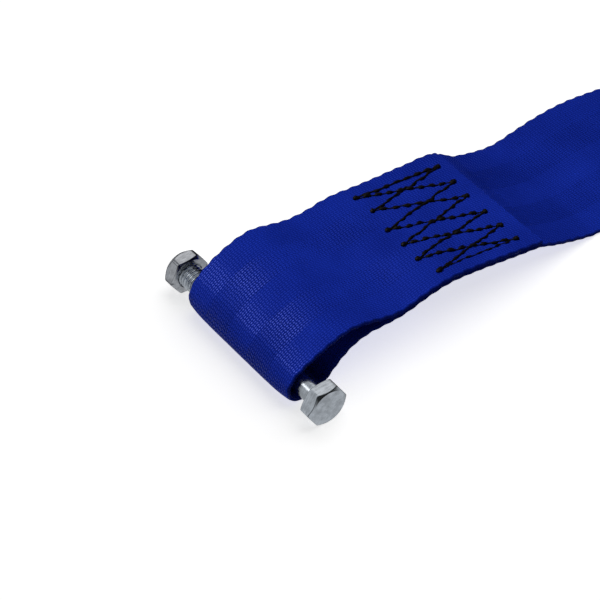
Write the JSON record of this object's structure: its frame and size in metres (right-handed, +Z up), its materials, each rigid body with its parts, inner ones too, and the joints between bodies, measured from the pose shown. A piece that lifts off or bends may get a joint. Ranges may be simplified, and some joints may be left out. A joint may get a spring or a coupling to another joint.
{
  "type": "tow strap",
  "caption": "Short sewn webbing tow strap: an eye folded round a hex bolt with its nut, and a pull loop at the far end.",
  "frame": {"origin": "middle of the whole part's footprint, on the plane that the strap lies on", "axes": "+X along the bolt towards its head, +Y along the strap from the bolt to the pull loop, +Z up"},
  "size_m": [0.0748, 0.29, 0.0285],
  "materials": {
    "webbing": "royal blue polyester seat-belt webbing, soft sheen",
    "sewing_thread": "black bonded polyester thread",
    "zinc_bolt": "bright zinc plate",
    "zinc_nut": "bright zinc plate"
  },
  "bodies": {
    "bolt_end_strap": {"webbing_bolt_end": "webbing", "eye_seam_needle_thread": "sewing_thread", "eye_seam_bobbin_thread": "sewing_thread"},
    "pull_end_strap": {"webbing_pull_end": "webbing", "loop_seam_needle_thread": "sewing_thread", "loop_seam_bobbin_thread": "sewing_thread"},
    "bolt": {"hex_bolt": "zinc_bolt"},
    "nut": {"hex_nut": "zinc_nut"}
  },
  "joints": [
    {"name": "bolt_turn", "type": "hinge", "parent": "bolt_end_strap", "child": "bolt", "pos_m": [0.0012, -0.1378, 0.0062], "axis": [1, 0, 0], "range_deg": [-1980, 1620]},
    {"name": "nut_travel", "type": "slide", "parent": "bolt_end_strap", "child": "nut", "axis": [1, 0, 0], "range_m": [-0.00564, 0.0069]},
    {"name": "strap_flex", "type": "hinge", "parent": "bolt_end_strap", "child": "pull_end_strap", "pos_m": [0.0012, -0.019, 0.00065], "axis": [1, 0, 0], "range_deg": [-90, 90]}
  ],
  "couplings": [
    {"joint": "nut_travel", "follows": "bolt_turn", "m_per_rad": -0.00019894}
  ]
}
